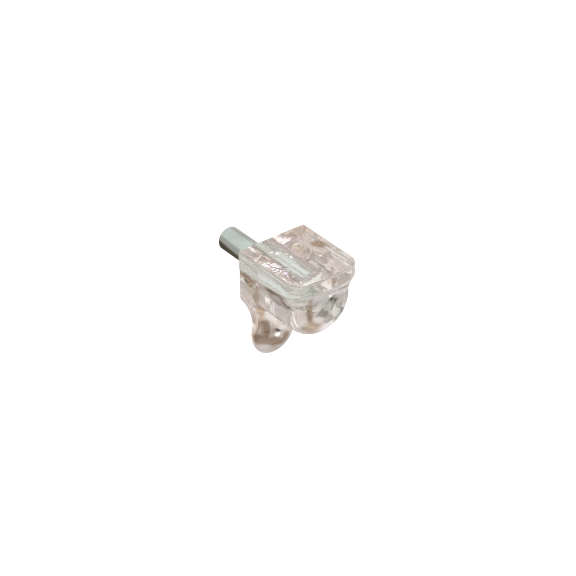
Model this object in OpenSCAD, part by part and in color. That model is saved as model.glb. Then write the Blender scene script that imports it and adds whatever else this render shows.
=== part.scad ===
// Shelf support: a clear moulded body with a steel pin set in it.
// The origin is where the pin's axis meets the wall face. +Z is up, the pin points to +Y, into
// the side panel, and the body stands out from the panel towards -Y. Sizes are millimetres.

/* [Pin] */
// Diameter of the steel pin, to suit the drilled hole
pin_d = 5; // [4:0.1:6.4]
// Length of pin that stands out of the wall face
pin_reach = 14; // [8:0.5:20]
// Length of pin moulded into the body
pin_seat = 12.5; // [8:0.5:14]
// Bevel on both ends of the pin
pin_bevel = 0.35; // [0.1:0.05:0.8]
// How far the knurl on the moulded-in length stands out from the pin
pin_knurl_t = 0.2; // [0.1:0.05:0.4]

/* [Shelf plate] */
// Width of the plate that carries the shelf
plate_w = 15.9; // [15.8:0.1:20]
// Depth of the plate, from the wall face to its front edge
plate_d = 17.8; // [17:0.1:24]
// Height of the shelf face above the pin's axis
seat_h = 7; // [6.2:0.05:7.2]
// Thickness of the plate at the wall
plate_back_t = 4.7; // [3.8:0.1:6]
// Thickness of the plate at its front edge
plate_front_t = 3.4; // [2.4:0.1:3.7]
// Radius of the two front corners, seen from above
plate_front_r = 3; // [1.5:0.1:4.5]
// Radius of the belly by which the front corners draw in below the shelf face
belly_r = 6; // [5:0.1:8]
// Radius of the two corners at the wall, seen from above
plate_back_r = 0.6; // [0.3:0.1:1.2]
// Rounding of the plate's lower edges
plate_lower_r = 0.8; // [0.5:0.1:1.4]

/* [Barrel] */
// Radius of the barrel that holds the pin
barrel_r = 7.3; // [7.2:0.05:7.7]
// Distance from the wall face to the flat front of the barrel
barrel_d = 16.1; // [15:0.1:17]
// Rounding of the barrel's front edge
barrel_nose_r = 2.6; // [1:0.1:4]

/* [Wall plate and tongue] */
// Width of the wall plate just under the shelf plate
wall_top_w = 15.7; // [15:0.1:15.8]
// Width of the wall plate at its lower corners
wall_low_w = 15.4; // [14.6:0.1:15.6]
// Width of the tongue at its neck
neck_w = 9.5; // [8:0.1:11]
// Height of the neck below the pin's axis
neck_drop = 12.4; // [11:0.1:13]
// Radius of the hollow curve from the wall plate to the neck
hollow_r = 13.4; // [12:0.1:15]
// Radius of the tongue's round end
end_r = 5; // [4.4:0.1:5.4]
// Distance from the pin's axis down to the tip of the tongue
tongue_reach = 19.2; // [17.5:0.1:22]
// Thickness of the rim round the edge of the tongue
rim_t = 0.45; // [0.3:0.05:0.8]
// Thickness along the middle of the tongue, at its round end
tongue_t = 1.8; // [1.4:0.1:2.4]
// Thickness along the middle of the wall plate, at the height of its lower corners
root_t = 3.7; // [3.2:0.1:4.4]

/* [Hidden] */
$fn = 96;

// The tongue's front is crowned: a ball at the round end that runs up into a cone, both centred
// on a vertical line behind the wall face.
crown_rise = tongue_t - rim_t;
crown_end_r = (end_r * end_r + crown_rise * crown_rise) / (2 * crown_rise);
crown_axis = crown_end_r - tongue_t;
crown_root_r = crown_axis + root_t;
end_z = end_r - tongue_reach;
hollow_x = neck_w / 2 + hollow_r;
corner_z = sqrt(hollow_r * hollow_r - pow(hollow_x - wall_low_w / 2, 2)) - neck_drop;
plate_pitch = atan((plate_back_t - plate_front_t) / plate_d);
// The barrel and the wall plate run up into the shelf plate as far as this height
merge_z = seat_h - plate_front_t / 2;
// The front corners are trimmed by a bowl, turned about an upright axis, that bites just
// inside their outermost points
belly_bite = 0.04;
belly_start = 0.3;
belly_axis = plate_d - plate_w / 2;
belly_reach = sqrt(2) * (plate_w / 2 - plate_front_r) + plate_front_r - belly_bite;
// How far a cutting shape runs past the solid that it cuts
spare = 1;

// Turns a flat drawing in X and Z into a solid that grows from the wall face towards -Y
module out_from_wall(depth) {
    rotate([90, 0, 0]) linear_extrude(depth) children();
}

// What rounding a lower left corner takes away, when the lower side leans up by an angle
module corner_waste(r, lean = 0) {
    centre_y = r * (1 + sin(lean)) / cos(lean);
    difference() {
        translate([-spare, -spare]) square([r + spare, centre_y + spare]);
        translate([r, centre_y]) circle(r);
    }
}

module both_sides() {
    children();
    mirror([1, 0, 0]) children();
}

module plate_plan() {
    difference() {
        translate([-plate_w / 2, -plate_d]) square([plate_w, plate_d]);
        both_sides() {
            translate([-plate_w / 2, -plate_d]) corner_waste(plate_front_r);
            translate([-plate_w / 2, 0]) mirror([0, 1]) corner_waste(plate_back_r);
        }
    }
}

// Seen from the left: thick at the wall, thinner at the front, with the lower front edge rounded
module plate_side() {
    difference() {
        polygon([[-spare, seat_h], [-spare, seat_h - plate_back_t], [0, seat_h - plate_back_t],
            [plate_d, seat_h - plate_front_t], [plate_d, seat_h]]);
        translate([plate_d, seat_h - plate_front_t]) mirror([1, 0])
            corner_waste(plate_lower_r, -plate_pitch);
    }
}

// Half section of the bowl
module bowl_section() {
    difference() {
        translate([0, -belly_r]) square([belly_reach, belly_r + belly_start + spare]);
        translate([belly_reach, -belly_r]) mirror([1, 0]) corner_waste(belly_r);
    }
}

module shelf_plate() {
    difference() {
        intersection() {
            translate([0, 0, seat_h - plate_back_t]) linear_extrude(plate_back_t) plate_plan();
            translate([plate_w, 0, 0]) rotate([90, 0, -90]) linear_extrude(2 * plate_w) plate_side();
        }
        both_sides() translate([-plate_w / 2, 0, seat_h - plate_back_t])
            rotate([-plate_pitch, 0, 0]) translate([0, spare, 0])
                out_from_wall(plate_d + 3 * spare) corner_waste(plate_lower_r);
        difference() {
            translate([-plate_w, -plate_d - spare, seat_h - plate_back_t - spare])
                cube([2 * plate_w, plate_w / 2 + spare, plate_back_t + 2 * spare]);
            translate([0, -belly_axis, seat_h - belly_start]) rotate_extrude() bowl_section();
        }
    }
}

// Half of the barrel seen from above: a drum with a rounded front edge
module barrel_plan() {
    square([barrel_r, barrel_d - barrel_nose_r]);
    square([barrel_r - barrel_nose_r, barrel_d]);
    translate([barrel_r - barrel_nose_r, barrel_d - barrel_nose_r]) circle(barrel_nose_r);
}

// The barrel is half round below the pin's axis and goes straight up to the shelf plate above it
module barrel() {
    intersection() {
        rotate([90, 0, 0]) rotate_extrude() barrel_plan();
        translate([-plate_w, -2 * plate_d, -2 * barrel_r])
            cube([2 * plate_w, 2 * plate_d + spare, 2 * barrel_r]);
    }
    linear_extrude(merge_z) both_sides() mirror([0, 1]) barrel_plan();
}

// Outline of the wall plate and of the tongue down to its neck, seen from the front
module wall_outline() {
    foot_z = (end_z - neck_drop) / 2;
    side_lean = (wall_top_w - wall_low_w) / 2 / (merge_z - corner_z);
    foot_x = wall_low_w / 2 - side_lean * (corner_z - foot_z);
    difference() {
        polygon([[-wall_top_w / 2, merge_z], [wall_top_w / 2, merge_z],
            [foot_x, foot_z], [-foot_x, foot_z]]);
        both_sides() translate([hollow_x, -neck_drop]) circle(hollow_r);
    }
}

// Half section of the crown: a ball at the tongue's end and a cone above it
module crown_section() {
    cone_h = corner_z - end_z;
    cone_grow = (crown_root_r - crown_end_r) / cone_h;
    full_h = merge_z - end_z;
    intersection() {
        union() {
            circle(crown_end_r);
            polygon([[0, 0], [crown_end_r, 0], [crown_end_r + cone_grow * full_h, full_h],
                [0, full_h]]);
        }
        translate([0, -crown_end_r]) square(2 * (crown_end_r + full_h));
    }
}

module wall_plate() {
    intersection() {
        union() {
            out_from_wall(2 * root_t) wall_outline();
            translate([0, 0, end_z]) rotate([90, 0, 0]) cylinder(h = 2 * root_t, r = end_r);
        }
        translate([0, crown_axis, end_z]) rotate_extrude() crown_section();
    }
}

// The knurled length keys the pin into the body; here it is a plain, slightly thicker cylinder
module pin_shape() {
    r = pin_d / 2;
    knurl_r = r + pin_knurl_t;
    full = pin_seat + pin_reach;
    translate([0, pin_reach, 0]) rotate([90, 0, 0]) rotate_extrude()
        polygon([[0, 0], [r - pin_bevel, 0], [r, pin_bevel], [r, pin_reach], [knurl_r, pin_reach],
            [knurl_r, full - pin_bevel], [knurl_r - pin_bevel, full], [0, full]]);
}

module clear_body() {
    color([0.86, 0.82, 0.80, 0.45]) difference() {
        union() {
            shelf_plate();
            barrel();
            wall_plate();
        }
        pin_shape();
    }
}

module steel_pin() {
    color([0.62, 0.66, 0.64]) pin_shape();
}

clear_body();
steel_pin();
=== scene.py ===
import math

import bmesh
import bpy
import numpy as np
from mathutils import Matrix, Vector


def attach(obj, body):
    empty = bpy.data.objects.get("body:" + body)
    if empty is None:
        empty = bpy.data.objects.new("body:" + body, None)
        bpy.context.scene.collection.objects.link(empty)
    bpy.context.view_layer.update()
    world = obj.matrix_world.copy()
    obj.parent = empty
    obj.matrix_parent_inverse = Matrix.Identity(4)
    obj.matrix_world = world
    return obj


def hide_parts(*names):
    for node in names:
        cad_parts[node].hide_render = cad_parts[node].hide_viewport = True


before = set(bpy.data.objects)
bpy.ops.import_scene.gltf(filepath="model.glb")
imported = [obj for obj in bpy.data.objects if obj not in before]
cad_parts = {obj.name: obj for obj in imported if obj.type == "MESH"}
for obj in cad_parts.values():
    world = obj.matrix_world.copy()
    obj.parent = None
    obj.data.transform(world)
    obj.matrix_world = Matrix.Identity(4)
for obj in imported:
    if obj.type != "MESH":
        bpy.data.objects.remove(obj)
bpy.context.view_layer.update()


# ---- Steel pin -----------------------------------------------------------------------------
# A round steel pin, turned and zinc plated, with both ends bevelled. Its free end goes into the
# side panel. The other end is knurled and sits in the moulding, which is injected round it.

# All sizes are in millimetres, and this turns them into metres
MM = 0.001
PIN_R = 2.5
PIN_REACH = 14.0
PIN_SEAT = 12.5
PIN_BEVEL = 0.35
PIN_EDGE_R = 0.12
PIN_SIDES = 96
# The end faces close in on a tiny ring round the axis
PIN_CENTRE_R = 0.02
KNURL_R = 2.7
# The painted highlight along the knurl lies this far to the left of its top
KNURL_HIGHLIGHT_LEAN = math.radians(22.5)

PLATING_GREY = (0.46, 0.52, 0.48, 1)
PLATING_GREEN = (0.60, 0.67, 0.63, 1)
# Painted light on the knurl: its highlight, its mauve reflection and its shade
KNURL_PAINTED_HIGHLIGHT = (0.80, 0.87, 0.83, 1)
KNURL_PAINTED_REFLECTION = (0.84, 0.785, 0.78, 1)
KNURL_SHADE = (0.75, 0.80, 0.77, 1)
FREE_END_DARK = (0.30, 0.33, 0.30, 1)
STEEL_GLOW = (0.42, 0.41, 0.38, 1)
# The renderer drops light that turns back and forth four times in the moulding
MOST_TURNS = 3.5


def lathe(name, profile, sides):
    """Turns a profile of (radius, Y) points about the pin's axis."""
    turn = np.arange(sides) * 2 * math.pi / sides
    rings = [np.stack([r * np.sin(turn), np.full(sides, y), r * np.cos(turn)], 1)
             for r, y in profile]
    points = np.concatenate(rings + [[(0, profile[0][1], 0)], [(0, profile[-1][1], 0)]])
    faces = []
    for ring in range(len(profile) - 1):
        for i in range(sides):
            a, b = ring * sides + i, ring * sides + (i + 1) % sides
            faces.append((a, b, b + sides, a + sides))
    first, last = len(points) - 2, len(points) - 1
    end = (len(profile) - 1) * sides
    for i in range(sides):
        j = (i + 1) % sides
        faces.append((first, j, i))
        faces.append((last, end + i, end + j))
    mesh = bpy.data.meshes.new(name)
    mesh.from_pydata((points * MM).tolist(), [], faces)
    mesh.validate()
    mesh.shade_smooth()
    piece = bpy.data.objects.new(name, mesh)
    bpy.context.collection.objects.link(piece)
    return piece


def rounded(corners, radius, steps=5, share=0.4):
    """Swaps each inner corner of a profile for a short arc, which takes at most a share of
    either side."""
    out = [corners[0]]
    for before, corner, after in zip(corners, corners[1:], corners[2:]):
        c = np.array(corner, float)
        u, v = np.array(before) - c, np.array(after) - c
        cut = min(radius, share * np.linalg.norm(u), share * np.linalg.norm(v))
        u, v = c + u / np.linalg.norm(u) * cut, c + v / np.linalg.norm(v) * cut
        for t in np.linspace(0, 1, steps):
            out.append(tuple((1 - t) ** 2 * u + 2 * t * (1 - t) * c + t ** 2 * v))
    return out + [corners[-1]]


def node_material(name):
    """A new material, its node tree and its shader."""
    material = bpy.data.materials.new(name)
    material.use_nodes = True
    return material, material.node_tree, material.node_tree.nodes["Principled BSDF"]


def feed(tree, socket, value):
    """Sets an input to a value, or links it to the output that feeds it."""
    if isinstance(value, bpy.types.NodeSocket):
        tree.links.new(value, socket)
    else:
        socket.default_value = value


def add_node(tree, kind, inputs=None, **settings):
    """Adds a node. Each of its inputs is given as a value, or as the output that feeds it."""
    node = tree.nodes.new("ShaderNode" + kind)
    for name, value in settings.items():
        setattr(node, name, value)
    for socket, value in (inputs or {}).items():
        feed(tree, node.inputs[socket], value)
    return node


def noise(tree, where, scale, detail, distortion=0):
    """A pattern of soft clouds. The larger the scale, the smaller they are."""
    return add_node(tree, "TexNoise", {"Vector": where, "Scale": scale, "Detail": detail,
                                       "Distortion": distortion}).outputs


def tones(tree, factor, *stops):
    """Colours that run into one another. Each stop is a position from 0 to 1 and a colour."""
    ramp = add_node(tree, "ValToRGB", {"Fac": factor})
    elements = ramp.color_ramp.elements
    for element, (position, colour) in zip(elements, (stops[0], stops[-1])):
        element.position = position
        element.color = colour
    for position, colour in stops[1:-1]:
        elements.new(position).color = colour
    return ramp.outputs["Color"]


def calculate(tree, operation, a, b):
    return add_node(tree, "Math", {0: a, 1: b}, operation=operation).outputs[0]


def lay_over(tree, under, cover, colour):
    """Lays a colour over the one under it, as thickly as cover says, from 0 to 1."""
    return add_node(tree, "Mix", {"Factor": cover, "A": under, "B": colour},
                    data_type="RGBA").outputs["Result"]


def uneven_finish(tree, shader, pattern, roughness, bump, depth):
    """Lets a pattern vary the roughness between two values and dent the surface."""
    rough = add_node(tree, "MapRange",
                     {"Value": pattern, "To Min": roughness[0], "To Max": roughness[1]})
    feed(tree, shader.inputs["Roughness"], rough.outputs["Result"])
    dents = add_node(tree, "Bump", {"Strength": bump, "Distance": depth * MM, "Height": pattern})
    feed(tree, shader.inputs["Normal"], dents.outputs["Normal"])


def glow_when_lost(tree, shader, colour):
    """Gives back as an even glow the light that the renderer would drop."""
    turns = add_node(tree, "LightPath").outputs["Glossy Depth"]
    lost = calculate(tree, "GREATER_THAN", turns, MOST_TURNS)
    feed(tree, shader.inputs["Emission Strength"], lost)
    shader.inputs["Emission Color"].default_value = colour


def zinc_plated_steel():
    material, tree, shader = node_material("zinc_plated_steel")
    shader.inputs["Metallic"].default_value = 1.0
    where = add_node(tree, "TexCoord").outputs["Object"]
    along = add_node(tree, "SeparateXYZ", {"Vector": where}).outputs["Y"]
    # Plating varies in broad, faint clouds from grey to grey-green
    clouds = noise(tree, where, scale=260, detail=3)["Fac"]
    colour = tones(tree, clouds, (0.3, PLATING_GREY), (0.7, PLATING_GREEN))
    # The moulded-in length gets painted light by the way it faces: a green-white painted highlight
    # along the top, a painted mauve reflection on either flank and painted shade below
    lean = Vector((-math.sin(KNURL_HIGHLIGHT_LEAN), 0, math.cos(KNURL_HIGHLIGHT_LEAN)))
    upward = add_node(tree, "VectorMath", {0: where, 1: lean / (KNURL_R * MM)},
                      operation="DOT_PRODUCT").outputs["Value"]
    knurl_painted_light = tones(tree, upward, (0.05, KNURL_SHADE), (0.34, KNURL_PAINTED_REFLECTION), (0.445, KNURL_PAINTED_REFLECTION),
                  (0.89, KNURL_PAINTED_HIGHLIGHT))
    colour = lay_over(tree, colour, calculate(tree, "LESS_THAN", along, 0), knurl_painted_light)
    # The bevel and face of the free end are darker
    free_end = calculate(tree, "GREATER_THAN", along, (PIN_REACH - PIN_BEVEL) * MM)
    colour = lay_over(tree, colour, free_end, FREE_END_DARK)
    feed(tree, shader.inputs["Base Color"], colour)
    # Fine turning rings run round the pin: noise that is squeezed along the axis
    squeezed = add_node(tree, "Mapping", {"Vector": where, "Scale": (0.15, 8.0, 0.15)})
    rings = noise(tree, squeezed.outputs["Vector"], scale=900, detail=4)["Fac"]
    uneven_finish(tree, shader, rings, roughness=(0.12, 0.22), bump=0.15, depth=0.04)
    glow_when_lost(tree, shader, STEEL_GLOW)
    return material


pin = lathe("turned_pin", rounded([
    (PIN_CENTRE_R, PIN_REACH), (PIN_R - PIN_BEVEL, PIN_REACH), (PIN_R, PIN_REACH - PIN_BEVEL),
    (PIN_R, 0), (KNURL_R, 0), (KNURL_R, PIN_BEVEL - PIN_SEAT), (KNURL_R - PIN_BEVEL, -PIN_SEAT),
    (PIN_CENTRE_R, -PIN_SEAT)], PIN_EDGE_R), PIN_SIDES)
pin.data.materials.append(zinc_plated_steel())
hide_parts("steel_pin")
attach(pin, "root")


# ---- Clear moulding ------------------------------------------------------------------------
# One glossy, clear moulding, injected round the pin: the plate that the shelf rests on, the
# barrel under it that holds the pin, the wall plate behind and the tongue that runs down from it.

# The shelf plate is thicker at the wall, and its front corners draw in like a belly
PLATE_W, PLATE_D, SEAT_H = 15.9, 17.8, 7.0
PLATE_BACK_T, PLATE_FRONT_T = 4.7, 3.4
PLATE_FRONT_R, PLATE_LOWER_R = 3.0, 0.8
BELLY_R, BELLY_START, BELLY_EDGE_R = 6.0, 0.3, 1.0
# The barrel has a rounded nose and a flat, round face
BARREL_R, BARREL_D, BARREL_NOSE_R = 7.3, 16.1, 2.6
FACE_R, FACE_BEVEL = 4.65, math.radians(18)
# The wall plate runs down by two hollow sides into the tongue's neck and its round end
WALL_TOP_W, WALL_LOW_W = 15.7, 15.4
NECK_W, NECK_DROP, HOLLOW_R = 9.5, 12.4, 13.4
END_R, TONGUE_REACH = 5.0, 19.2
# They are thin at the rim and crowned, with a narrow flat down the middle
RIM_T, TONGUE_T, ROOT_T = 0.45, 1.8, 3.7
FLAT_CUT, CROWN_SWELL, FLAT_EDGE_R = 0.35, 0.2, 1.0
# Roundings of the edges, and fillets in the corners
EDGE_R, SEAT_EDGE_R, WALL_EDGE_R = 0.25, 0.5, 0.125
CORNER_EDGE_R, NECK_FILLET = 0.3, 1.0
ROOT_FILLET, PLATE_FILLET = 2.0, 0.4
# The chin under the plate's front edge: its rounding and fillet grow over a few millimetres of
# depth, and the barrel's front leans out to meet it between two heights
CHIN_R, CHIN_R_FROM, CHIN_R_OVER = 1.6, 14.7, 3.0
CHIN_FILLET, CHIN_FILLET_FROM, CHIN_FILLET_OVER = 1.0, 12.98, 2.6
CHIN_LOW, CHIN_HIGH, CHIN_RISE = 0.6, 5.0, 1.4
# Across the lean, a true distance is a little shorter than one measured straight out
CHIN_SLANT = 0.95
# The bore is a hair smaller than the pin, so that the plastic grips the steel with no gap
PIN_GRIP = 0.02
# The box that the skin is laid in, and the length of its faces
SKIN_LOW, SKIN_HIGH = (-8.3, -18.15, -19.6), (8.3, 0.6, 7.4)
SKIN_STEP = 0.17

MERGE_Z = SEAT_H - PLATE_FRONT_T / 2
HOLLOW_X = NECK_W / 2 + HOLLOW_R
CORNER_Z = math.sqrt(HOLLOW_R ** 2 - (HOLLOW_X - WALL_LOW_W / 2) ** 2) - NECK_DROP
END_Z = END_R - TONGUE_REACH

STREAK_BROWN = (0.60, 0.51, 0.43, 1)
STREAK_MAUVE = (0.76, 0.71, 0.69, 1)
STREAK_CLEAR = (0.86, 0.845, 0.835, 1)
# The next six colours paint light and shade into the streaks below: brown, dusky and smoky for
# refracted shadow, clear and pale for refracted light, mauve for a refracted mauve surface
PAINTED_SHADE_BROWN = (0.32, 0.20, 0.11, 1)
PAINTED_SHADE_DUSKY = (0.55, 0.45, 0.37, 1)
PAINTED_SHADE_SMOKE = (0.14, 0.10, 0.07, 1)
PAINTED_LIGHT_CLEAR = (1.0, 0.99, 0.96, 1)
PAINTED_LIGHT_PALE = (0.95, 0.94, 0.95, 1)
PAINTED_REFLECTION_MAUVE = (0.78, 0.67, 0.66, 1)
DEEP_TINT = (0.60, 0.45, 0.36, 1)
PLASTIC_GLOW = (0.375, 0.345, 0.3225, 1)

# A mark comes up to its full tint over this share of the way in from its rim
MARK_FADE = 0.55
# Soft streaks of painted light and shade in the plastic, standing for refracted light, shadow and
# a mauve surface: where each starts and ends, its width and its tint
PAINTED_LIGHT_MARKS = [
    # Clearest over the pin and down the left side of the shelf plate
    ((-3.6, -1.5, 7.0), (-3.2, -14.5, 7.0), 3.58, PAINTED_LIGHT_PALE),
    ((-7.95, 0.0, 4.6), (-7.6, -15.5, 4.9), 2.69, PAINTED_LIGHT_PALE),
    ((-7.95, -0.3, 4.9), (-7.95, -2.8, 5.4), 1.8, PAINTED_LIGHT_CLEAR),
    ((-6.8, -16.4, 6.0), (-5.0, -17.6, 5.6), 2.02, PAINTED_LIGHT_CLEAR),
    ((-6.9, -14.9, 2.0), (-5.4, -16.2, 1.0), 2.02, PAINTED_LIGHT_CLEAR),
    ((-5.3, -4.0, 7.0), (-5.7, -13.5, 7.0), 1.46, PAINTED_REFLECTION_MAUVE),
    ((0.0, -3.0, 7.0), (0.0, -12.5, 7.0), 1.46, PAINTED_REFLECTION_MAUVE),
    ((-7.3, -8.5, 0.4), (-6.9, -14.6, 0.4), 1.90, PAINTED_LIGHT_PALE),
    ((3.2, -16.1, 1.5), (3.6, -16.1, -2.0), 3.58, PAINTED_LIGHT_PALE),
    ((7.0, -13.5, 7.0), (5.5, -16.8, 7.0), 1.79, PAINTED_LIGHT_CLEAR),
    # Down the wall plate and round the end of the tongue
    ((-7.3, -4.9, 0.6), (-6.0, -3.6, -4.6), 1.22, PAINTED_SHADE_BROWN),
    ((-6.2, -3.9, -3.4), (-3.6, -2.0, -9.6), 1.40, PAINTED_SHADE_BROWN),
    ((-3.7, -2.0, -8.8), (-2.1, -1.3, -15.2), 1.34, PAINTED_SHADE_BROWN),
    ((-4.6, -0.9, -13.2), (-4.0, -1.0, -14.8), 1.71, PAINTED_SHADE_BROWN),
    ((-5.4, -1.8, -7.6), (-4.9, -1.3, -11.0), 1.22, PAINTED_SHADE_DUSKY),
    ((-4.4, -1.0, -14.6), (2.0, -1.2, -16.9), 1.10, PAINTED_SHADE_DUSKY),
    ((2.0, -1.2, -16.8), (2.9, -1.2, -14.8), 0.49, PAINTED_SHADE_DUSKY),
    ((-0.7, -1.6, -13.1), (1.6, -1.3, -14.4), 0.49, PAINTED_SHADE_SMOKE),
    ((-0.6, -1.4, -14.6), (0.9, -1.4, -14.8), 0.56, PAINTED_LIGHT_CLEAR),
    ((1.2, -1.3, -13.4), (2.4, -1.2, -14.8), 1.01, PAINTED_LIGHT_PALE),
    # Along the seam between the shelf plate and the barrel
    ((-7.3, -7.1, 1.0), (-7.0, -9.4, -2.2), 2.02, PAINTED_LIGHT_CLEAR),
    ((-7.5, -6.2, 2.1), (-6.9, -15.6, 2.9), 0.67, PAINTED_SHADE_SMOKE),
    ((-7.3, -11.7, 2.2), (-6.8, -15.0, 1.1), 0.49, PAINTED_SHADE_SMOKE),
    ((-8.0, -2.0, 2.2), (-8.0, -3.2, 1.0), 1.46, PAINTED_SHADE_BROWN),
    # Round the flat face of the barrel
    ((-3.9, -16.7, 3.0), (-3.6, -16.1, 0.4), 1.10, PAINTED_SHADE_BROWN),
    ((-3.7, -16.1, 0.8), (-3.2, -16.1, -3.2), 1.22, PAINTED_SHADE_BROWN),
    ((-3.8, -16.1, 0.2), (-3.1, -16.1, -3.6), 0.61, PAINTED_SHADE_SMOKE),
    ((-5.0, -15.5, -4.0), (-0.7, -15.6, -6.1), 1.22, PAINTED_SHADE_DUSKY),
    ((-3.6, -17.4, 7.0), (-3.2, -16.8, 3.0), 0.49, PAINTED_SHADE_SMOKE),
    ((-0.8, -17.9, 6.3), (2.4, -17.9, 5.6), 0.73, PAINTED_SHADE_DUSKY),
    ((2.8, -17.9, 5.9), (6.4, -16.4, 4.6), 1.6, PAINTED_LIGHT_CLEAR),
    ((-4.4, -15.9, -3.4), (-1.2, -15.9, -4.6), 1.7, PAINTED_SHADE_BROWN),
    # In the shelf plate
    ((5.0, -6.8, 7.0), (6.0, -8.4, 7.0), 1.59, PAINTED_SHADE_BROWN),
    ((1.5, -7.2, 7.0), (2.1, -8.2, 7.0), 1.34, PAINTED_SHADE_DUSKY),
    ((2.2, -0.9, 7.0), (7.2, -1.6, 7.0), 2.6, PAINTED_SHADE_DUSKY),
    ((1.6, -4.8, 7.0), (2.2, -7.6, 7.0), 1.5, PAINTED_SHADE_DUSKY),
    ((-0.6, -1.8, 7.0), (3.2, -3.0, 7.0), 1.68, PAINTED_REFLECTION_MAUVE),
    ((-6.6, -2.6, 7.0), (-5.4, -6.5, 7.0), 1.59, PAINTED_SHADE_DUSKY),
    ((6.2, -8.5, 7.0), (6.0, -16.5, 7.0), 1.01, PAINTED_LIGHT_CLEAR)]


def cut_round(a, b, r):
    """Two distances to the solid that both surfaces bound, with the edge between them rounded."""
    return np.minimum(-r, np.maximum(a, b)) + np.hypot(np.maximum(r + a, 0), np.maximum(r + b, 0))


def join_round(a, b, r):
    """Two distances to both solids together, with a fillet in the corner between them."""
    return np.maximum(r, np.minimum(a, b)) - np.hypot(np.maximum(r - a, 0), np.maximum(r - b, 0))


def plate_distance(x, out, z):
    """The shelf plate. out is the distance from the wall face."""
    side, front = np.abs(x) - PLATE_W / 2, out - PLATE_D
    plan = cut_round(side, front, PLATE_FRONT_R)
    # The front corners draw in below the shelf face like the belly of a bowl
    axis = PLATE_D - PLATE_W / 2
    reach = math.sqrt(2) * (PLATE_W / 2 - PLATE_FRONT_R) + PLATE_FRONT_R
    away = np.hypot(x, np.maximum(out - axis, 0))
    drop = np.maximum(SEAT_H - BELLY_START - z, 0)
    belly = np.hypot(np.maximum(away - (reach - BELLY_R), 0), drop) - BELLY_R
    plan = cut_round(plan, belly, BELLY_EDGE_R)
    pitch = (PLATE_BACK_T - PLATE_FRONT_T) / PLATE_D
    under = (SEAT_H - PLATE_BACK_T + pitch * out - z) / math.hypot(1, pitch)
    toward_chin = np.clip((out - CHIN_R_FROM) / CHIN_R_OVER, 0, 1)
    lower_r = PLATE_LOWER_R + (CHIN_R - PLATE_LOWER_R) * toward_chin
    return cut_round(cut_round(plan, under, lower_r), z - SEAT_H, SEAT_EDGE_R)


def barrel_distance(x, out, z):
    """Half round below the pin's axis and straight up above it, with a rounded nose."""
    around = np.hypot(x, np.minimum(z, 0)) - BARREL_R
    # Above the pin's axis the front leans out in a soft S, to meet the front edge of the plate
    climb = np.clip((z - CHIN_LOW) / (CHIN_HIGH - CHIN_LOW), 0, 1)
    front = (out - BARREL_D - CHIN_RISE * climb ** 2 * (3 - 2 * climb)) * CHIN_SLANT
    nose = cut_round(around, front, BARREL_NOSE_R)
    # A crisp edge rings the flat face of the barrel
    bevel = front * math.cos(FACE_BEVEL) + (around + BARREL_R - FACE_R) * math.sin(FACE_BEVEL)
    return np.maximum(np.maximum(nose, bevel), z - MERGE_Z)


def wall_outline(x, z):
    """The outline of the wall plate and tongue, with its hollow sides, seen from the front."""
    lean = (WALL_TOP_W - WALL_LOW_W) / 2 / (MERGE_Z - CORNER_Z)
    side = np.abs(x) - (WALL_LOW_W / 2 + lean * (z - CORNER_Z))
    hollow = HOLLOW_R - np.hypot(np.abs(x) - HOLLOW_X, z + NECK_DROP)
    neck = cut_round(side, hollow, CORNER_EDGE_R)
    neck = np.maximum(neck, np.maximum((END_Z - NECK_DROP) / 2 - z, z - MERGE_Z))
    return join_round(neck, np.hypot(x, z - END_Z) - END_R, NECK_FILLET)


def wall_distance(x, out, z):
    """The wall plate and tongue, with a crowned front."""
    rise = TONGUE_T - RIM_T
    ball_r = (END_R ** 2 + rise ** 2) / (2 * rise)
    axis = ball_r - TONGUE_T
    grow = (ROOT_T - TONGUE_T) / (CORNER_Z - END_Z)
    above = np.maximum(z - END_Z, 0)
    below = np.minimum(z - END_Z, 0)
    crown = np.hypot(np.hypot(x, out + axis), below) - ball_r - CROWN_SWELL - grow * above
    # A narrow flat runs down the middle of the crown
    flat = (out - (TONGUE_T - FLAT_CUT) - grow * above) / math.hypot(1, grow)
    return cut_round(wall_outline(x, z), cut_round(crown, flat, FLAT_EDGE_R), EDGE_R)


def pin_distance(x, out, z):
    """The knurled length of the pin, with its bevelled inner end."""
    around, end = np.hypot(x, z) - KNURL_R, out - PIN_SEAT
    return np.maximum(np.maximum(around, end), (around + end + PIN_BEVEL) / math.sqrt(2))


def moulding_distance(points):
    """How far points lie outside the moulding's surface, with a minus sign inside it."""
    x, out, z = points[..., 0], -points[..., 1], points[..., 2]
    # Under the plate's front edge the corner with the barrel is filled out into a chin
    toward_chin = np.clip((out - CHIN_FILLET_FROM) / CHIN_FILLET_OVER, 0, 1)
    fillet = PLATE_FILLET + (CHIN_FILLET - PLATE_FILLET) * toward_chin
    plate = plate_distance(x, out, z)
    body = join_round(plate, barrel_distance(x, out, z), fillet)
    body = join_round(body, wall_distance(x, out, z), ROOT_FILLET)
    # The fillets fill corners only: they stay within the sides and the front of the solids
    body = np.maximum(body, np.minimum(plate, wall_outline(x, z)))
    body = np.maximum(body, out - PLATE_D)
    body = cut_round(body, -out, WALL_EDGE_R)
    return np.maximum(body, -(pin_distance(x, out, z) + PIN_GRIP))


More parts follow.
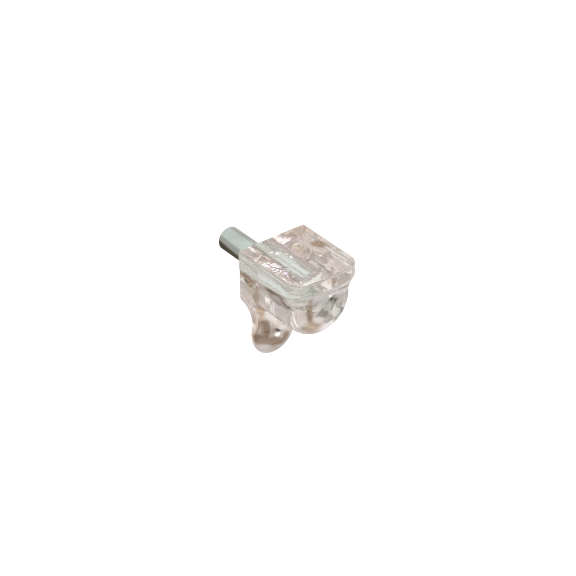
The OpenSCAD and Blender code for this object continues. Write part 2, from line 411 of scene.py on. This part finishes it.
def lay_skin(low, high, step):
    """Lays a skin of four-sided faces over the moulding, in a box of small cells."""
    axes = [np.arange(a, b, step) for a, b in zip(low, high)]
    shape = tuple(len(a) for a in axes)
    grid = np.stack(np.meshgrid(*axes, indexing="ij"), -1)
    field = moulding_distance(grid)
    inside = field < 0
    cells = tuple(n - 1 for n in shape)
    total, crossings = np.zeros(cells + (3,)), np.zeros(cells)
    corners = [(i, j, k) for i in (0, 1) for j in (0, 1) for k in (0, 1)]

    def part(values, offset):
        return values[tuple(slice(o, o + n) for o, n in zip(offset, cells))]

    # Each cell that the surface passes through gets a point, midway between its crossings
    for a in corners:
        for axis in range(3):
            if a[axis]:
                continue
            b = tuple(o + (axis == n) for n, o in enumerate(a))
            fa, fb = part(field, a), part(field, b)
            crosses = (fa < 0) != (fb < 0)
            t = np.where(crosses, fa / np.where(fa == fb, 1, fa - fb), 0)[..., None]
            point = part(grid, a) * (1 - t) + part(grid, b) * t
            total += np.where(crosses[..., None], point, 0)
            crossings += crosses
    used = crossings > 0
    number = np.full(cells, -1)
    number[used] = np.arange(used.sum())
    points = total[used] / crossings[used][:, None]

    # Each edge that crosses the surface gets a face between the points of its four cells
    faces = []
    for axis in range(3):
        u, v = (axis + 1) % 3, (axis + 2) % 3
        lower = [slice(1, n - 1) for n in shape]
        upper = list(lower)
        lower[axis], upper[axis] = slice(0, shape[axis] - 1), slice(1, shape[axis])
        for entering in (True, False):
            a, b = inside[tuple(lower)], inside[tuple(upper)]
            at = np.argwhere((a & ~b) if entering else (b & ~a))
            at[:, u] += 1
            at[:, v] += 1
            ring = []
            for du, dv in ((-1, -1), (0, -1), (0, 0), (-1, 0)):
                cell = at.copy()
                cell[:, u] += du
                cell[:, v] += dv
                ring.append(number[tuple(cell.T)])
            faces.append(np.stack(ring if entering else ring[::-1], 1))
    return points, np.concatenate(faces)


def settle(points, rounds=4, reach=0.004, least_slope=0.25):
    """Moves each point along the slope of the distance until it lies on the surface."""
    for _ in range(rounds):
        slope = np.zeros_like(points)
        for axis in range(3):
            nudge = np.zeros(3)
            nudge[axis] = reach
            slope[:, axis] = (moulding_distance(points + nudge)
                              - moulding_distance(points - nudge)) / (2 * reach)
        size = np.maximum((slope ** 2).sum(1), least_slope)
        points = points - slope * (moulding_distance(points) / size)[:, None]
    return points


def soft_oval(tree, point, middle, turn, reach, fade):
    """0 outside an oval that is placed, turned and stretched, and softly up to 1 within it. fade
    is the share of the way from rim to middle that this takes."""
    place = add_node(tree, "Mapping", {"Vector": point, "Location": middle, "Rotation": turn,
                                       "Scale": reach}, vector_type="TEXTURE")
    ball = add_node(tree, "TexGradient", {"Vector": place.outputs["Vector"]},
                    gradient_type="SPHERICAL")
    return add_node(tree, "MapRange", {"Value": ball.outputs["Fac"], "From Max": fade},
                    interpolation_type="SMOOTHSTEP").outputs["Result"]


def painted_light_mark(tree, point, start, end, width):
    """A soft streak from start to end, for painted light and shade in the plastic."""
    start, end = Vector(start), Vector(end)
    turn = (end - start).to_track_quat("X", "Z").to_euler()
    half = (end - start).length / 2 + width
    return soft_oval(tree, point, (start + end) / 2 * MM, turn,
                     (half * MM, width * MM, width * MM), MARK_FADE)


def wavering(tree, where, swing):
    """Shifts each place a little, so that the painted marks waver."""
    waver = noise(tree, where, scale=420, detail=2)["Color"]
    centred = add_node(tree, "VectorMath", {0: waver, 1: (0.5, 0.5, 0.5)},
                       operation="SUBTRACT").outputs["Vector"]
    return add_node(tree, "VectorMath", {0: centred, 1: (swing * MM,) * 3, 2: where},
                    operation="MULTIPLY_ADD").outputs["Vector"]


def clear_plastic():
    material, tree, shader = node_material("clear_plastic")
    shader.inputs["Transmission Weight"].default_value = 1.0
    shader.inputs["IOR"].default_value = 1.50
    depth = add_node(tree, "VolumeAbsorption", {"Color": DEEP_TINT, "Density": 6})
    feed(tree, tree.nodes["Material Output"].inputs["Volume"], depth.outputs["Volume"])
    where = add_node(tree, "TexCoord").outputs["Object"]
    # The tint runs in soft streaks from clear to mauve and brown
    streaks = noise(tree, where, scale=170, detail=3, distortion=0.6)["Fac"]
    tint_with_painted_light = tones(tree, streaks, (0.30, STREAK_BROWN), (0.45, STREAK_MAUVE), (0.66, STREAK_CLEAR))
    # Soft streaks of painted light and shade lie over the plastic's own streaks
    point = wavering(tree, where, swing=1.0)
    for start, end, width, colour in PAINTED_LIGHT_MARKS:
        tint_with_painted_light = lay_over(tree, tint_with_painted_light, painted_light_mark(tree, point, start, end, width), colour)
    feed(tree, shader.inputs["Base Color"], tint_with_painted_light)
    # The polish is faintly uneven, as it comes from the mould
    polish = noise(tree, where, scale=260, detail=2)["Fac"]
    uneven_finish(tree, shader, polish, roughness=(0.03, 0.09), bump=0.6, depth=0.3)
    glow_when_lost(tree, shader, PLASTIC_GLOW)
    return material


points, faces = lay_skin(SKIN_LOW, SKIN_HIGH, SKIN_STEP)
mesh = bpy.data.meshes.new("clear_moulding")
mesh.from_pydata((settle(points) * MM).tolist(), [], faces.tolist())
mesh.validate()
mesh.shade_smooth()
moulding = bpy.data.objects.new("clear_moulding", mesh)
bpy.context.collection.objects.link(moulding)
moulding.data.materials.append(clear_plastic())
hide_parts("clear_body")
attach(moulding, "root")


# ---- Floor and room ------------------------------------------------------------------------
# A plain pale floor some way under the part, which is held up by its pin, in a plain pale room.
# What the camera, the steel and the plastic see of the floor and the room is white.

FLOOR_Z, FLOOR_HALF = -60, 1500
PAPER = (0.85, 0.85, 0.85, 1)
PAPER_SHINE = 0.45
ROOM_GREY = (0.70, 0.70, 0.70, 1)
WHITE = (1, 1, 1, 1)


def looked_at(tree):
    """1 where a camera, glossy or transmission ray looks, and 0 for the light on the part."""
    paths = add_node(tree, "LightPath").outputs
    seen = calculate(tree, "MAXIMUM", paths["Is Camera Ray"], paths["Is Glossy Ray"])
    return calculate(tree, "MAXIMUM", seen, paths["Is Transmission Ray"])


def pale_paper():
    material, tree, shader = node_material("pale_paper")
    shader.inputs["Base Color"].default_value = PAPER
    shader.inputs["Roughness"].default_value = 0.9
    shader.inputs["Emission Color"].default_value = WHITE
    shine = calculate(tree, "MULTIPLY", looked_at(tree), PAPER_SHINE)
    feed(tree, shader.inputs["Emission Strength"], shine)
    return material


def flat_square(name, half, normal):
    """A square sheet that lies across the axis named. half is half its width."""
    corners = [(-half, -half), (half, -half), (half, half), (-half, half)]
    points = [(a * MM, b * MM, 0) if normal == "Z" else (a * MM, 0, b * MM) for a, b in corners]
    mesh = bpy.data.meshes.new(name)
    mesh.from_pydata(points, [], [(0, 1, 2, 3)])
    square = bpy.data.objects.new(name, mesh)
    bpy.context.collection.objects.link(square)
    return square


studio_floor = flat_square("studio_floor", FLOOR_HALF, "Z")
studio_floor.location.z = FLOOR_Z * MM
studio_floor.data.materials.append(pale_paper())

room = bpy.data.worlds.new("studio_room")
bpy.context.scene.world = room
room.use_nodes = True
backdrop = room.node_tree.nodes["Background"]
feed(room.node_tree, backdrop.inputs["Color"],
     lay_over(room.node_tree, ROOM_GREY, looked_at(room.node_tree), WHITE))
backdrop.inputs["Strength"].default_value = 1.0


# ---- Backing card --------------------------------------------------------------------------
# A mauve-grey card leans close behind the part, from the tongue's tip to the end of the pin. Only
# the steel and the plastic see it, as they would see a table on which such a part lies, with a
# painted shadow of the pin, painted shadows of the part and painted pools of the light that the
# plastic gathers.

CARD_TILT = math.atan2(PIN_REACH, TONGUE_REACH - PIN_R)
CARD_GAP = 0.8
CARD_HALF = 120
# The card shows within an oval, and fades out at its rim
CARD_MIDDLE, CARD_REACH, CARD_FADE = (0, -12), (50, 38), 0.2
PATCH_FADE = 0.4

CARD_SHADE = (0.54, 0.49, 0.45, 1)
CARD_GREY = (0.74, 0.70, 0.69, 1)
# The next six colours are painted shadow (brown, dark) and painted light (pale, cream, glow,
# sparkle)
CARD_PAINTED_SHADOW_BROWN = (0.38, 0.28, 0.19, 1)
CARD_PAINTED_SHADOW_DARK = (0.12, 0.09, 0.06, 1)
CARD_PAINTED_LIGHT_PALE = (0.88, 0.82, 0.81, 1)
CARD_PAINTED_LIGHT_CREAM = (1.0, 0.96, 0.90, 1)
CARD_PAINTED_LIGHT_GLOW = (1.18, 1.13, 1.09, 1)
CARD_PAINTED_SPARKLE = (1.4, 1.4, 1.4, 1)

# Soft oval patches of painted shadow and painted light on the card: the middle of each, how far it
# reaches across and up, and its turn in degrees, and in the list below also its colour
PIN_SHADOW = ((-2.0, 9.0), (5.5, 10.0), 0)
PAINTED_CARD_PATCHES = [
    ((12.0, 2.5), (10.0, 6.0), 0, CARD_PAINTED_LIGHT_GLOW),
    ((9.5, -6.5), (6.0, 7.0), 0, CARD_PAINTED_LIGHT_PALE),
    ((4.4, -3.4), (2.2, 4.4), 0, CARD_PAINTED_LIGHT_CREAM),
    ((1.65, -5.9), (3.4, 0.7), 68, CARD_PAINTED_SHADOW_BROWN),
    ((1.3, -8.9), (2.9, 0.8), -13, CARD_PAINTED_SHADOW_BROWN),
    ((4.0, -8.7), (1.2, 0.5), 43, CARD_PAINTED_SHADOW_BROWN),
    ((-0.2, -7.5), (1.3, 1.6), 0, CARD_PAINTED_SHADOW_BROWN),
    ((3.3, -6.9), (1.4, 0.4), -60, CARD_PAINTED_SHADOW_DARK),
    ((2.7, -8.1), (0.6, 0.45), 0, CARD_PAINTED_SPARKLE)]


def card_patch(tree, where, centre, reach, turn, fade=PATCH_FADE):
    """A soft oval that lies on the card."""
    return soft_oval(tree, where, (centre[0] * MM, 0, centre[1] * MM),
                     (0, -math.radians(turn), 0), (reach[0] * MM, 1, reach[1] * MM), fade)


def glow_material(name):
    """A new material without a shader, its node tree and its own coordinates."""
    material, tree, shader = node_material(name)
    tree.nodes.remove(shader)
    return material, tree, add_node(tree, "TexCoord").outputs["Object"]


def shine_where(tree, cover, colour):
    """The colour shines where cover is 1, and what lies behind shows where it is 0."""
    shine = add_node(tree, "Emission", {"Color": colour}).outputs[0]
    nothing = add_node(tree, "BsdfTransparent").outputs[0]
    blend = add_node(tree, "MixShader", {"Fac": cover, 1: nothing, 2: shine}).outputs[0]
    feed(tree, tree.nodes["Material Output"].inputs["Surface"], blend)


def hide_from_camera(thing):
    """Leaves a stage piece to what the steel and the plastic mirror and bend."""
    thing.visible_camera = False
    thing.visible_diffuse = False
    thing.visible_shadow = False


def card_tones():
    material, tree, where = glow_material("card_tones")
    weave = noise(tree, where, scale=150, detail=2)["Fac"]
    colour = tones(tree, weave, (0.35, CARD_SHADE), (0.65, CARD_GREY))
    # The painted shadow right behind the pin is mirrored, and doesn't show through the plastic
    bent = add_node(tree, "LightPath").outputs["Is Transmission Ray"]
    mirrored = calculate(tree, "SUBTRACT", 1, bent)
    shadow = calculate(tree, "MULTIPLY", card_patch(tree, where, *PIN_SHADOW), mirrored)
    colour = lay_over(tree, colour, shadow, CARD_PAINTED_SHADOW_DARK)
    # Painted shadows of the part and painted pools of light lie over the card's weave
    for centre, reach, turn, painted_patch_colour in PAINTED_CARD_PATCHES:
        painted_patch = card_patch(tree, where, centre, reach, turn)
        colour = lay_over(tree, colour, painted_patch, painted_patch_colour)
    shine_where(tree, card_patch(tree, where, CARD_MIDDLE, CARD_REACH, 0, CARD_FADE), colour)
    return material


card = flat_square("backing_card", CARD_HALF, "Y")
card.location = (0, (PIN_REACH / 2 + CARD_GAP) * MM, -(TONGUE_REACH + PIN_R + CARD_GAP) / 2 * MM)
card.rotation_euler = (-CARD_TILT, 0, 0)
card.data.materials.append(card_tones())
hide_from_camera(card)


# ---- Cloth tent ----------------------------------------------------------------------------
# A round tent of pale mauve-grey cloth stands round the part, open above the far end of the pin.
# Like the card, only the steel and the plastic see it.

TENT_R = 100
# The tent is open round this direction. It closes softly between two cosines of the angle from it.
OPENING = Vector((-0.25, 0.67, 0.70)).normalized()
OPEN_ABOVE, CLOSED_BELOW = 0.85, 0.60

CLOTH_SHADE = (0.60, 0.56, 0.53, 1)
CLOTH_PALE = (0.80, 0.77, 0.755, 1)


def tent_cloth():
    material, tree, where = glow_material("tent_cloth")
    folds = noise(tree, where, scale=14, detail=2)["Fac"]
    colour = tones(tree, folds, (0.35, CLOTH_SHADE), (0.65, CLOTH_PALE))
    facing = add_node(tree, "VectorMath", {0: where, 1: OPENING / (TENT_R * MM)},
                      operation="DOT_PRODUCT").outputs["Value"]
    closed = add_node(tree, "MapRange", {"Value": facing, "From Min": OPEN_ABOVE,
                                         "From Max": CLOSED_BELOW},
                      interpolation_type="SMOOTHSTEP").outputs["Result"]
    shine_where(tree, closed, colour)
    return material


shell = bmesh.new()
bmesh.ops.create_icosphere(shell, subdivisions=4, radius=TENT_R * MM)
tent_mesh = bpy.data.meshes.new("cloth_tent")
shell.to_mesh(tent_mesh)
shell.free()
tent = bpy.data.objects.new("cloth_tent", tent_mesh)
bpy.context.collection.objects.link(tent)
tent.data.materials.append(tent_cloth())
hide_from_camera(tent)


# ---- Lamps ---------------------------------------------------------------------------------
# Two softboxes light the part from the left and the right. One very small lamp makes glints in
# the shelf plate. Each faces the part.

GLINT_BLUE = (0.80, 0.86, 1.0)


def softbox(name, place, size, power, colour=(1, 1, 1)):
    lamp = bpy.data.lights.new(name, "AREA")
    lamp.shape = "RECTANGLE"
    lamp.size, lamp.size_y = size[0] * MM, size[1] * MM
    lamp.energy = power
    lamp.color = colour
    box = bpy.data.objects.new(name, lamp)
    box.location = Vector(place) * MM
    box.rotation_euler = (-Vector(place)).to_track_quat("-Z", "Y").to_euler()
    bpy.context.collection.objects.link(box)


softbox("key_softbox", place=(-350, -150, 550), size=(300, 200), power=3.0)
softbox("fill_softbox", place=(450, -450, 350), size=(350, 350), power=1.2)
softbox("glint_lamp", place=(35.1, 44.2, 53.7), size=(4.2, 2.4), power=0.00035, colour=GLINT_BLUE)


# ---- Camera --------------------------------------------------------------------------------
# A long lens half a metre away looks down on the front and left side. It aims at a point a little
# to the right of the pin's root and below it, as the lens sees them.

VIEW_FROM = Vector((-0.5150, -0.6580, 0.5495)).normalized()
VIEW_RIGHT = Vector((0.7875, -0.6164, 0.0))
VIEW_DOWN = VIEW_RIGHT.cross(VIEW_FROM).normalized()
VIEW_DISTANCE = 500
AIM_RIGHT, AIM_DOWN = 3.12, 3.85
LENS = 163.1
NEAREST = 10

lens = bpy.data.cameras.new("camera")
lens.lens = LENS
lens.clip_start = NEAREST * MM
camera = bpy.data.objects.new("camera", lens)
camera.location = (VIEW_RIGHT * AIM_RIGHT + VIEW_DOWN * AIM_DOWN + VIEW_FROM * VIEW_DISTANCE) * MM
camera.rotation_euler = VIEW_FROM.to_track_quat("Z", "Y").to_euler()
bpy.context.collection.objects.link(camera)
bpy.context.scene.camera = camera
bpy.context.scene.view_settings.view_transform = "Standard"
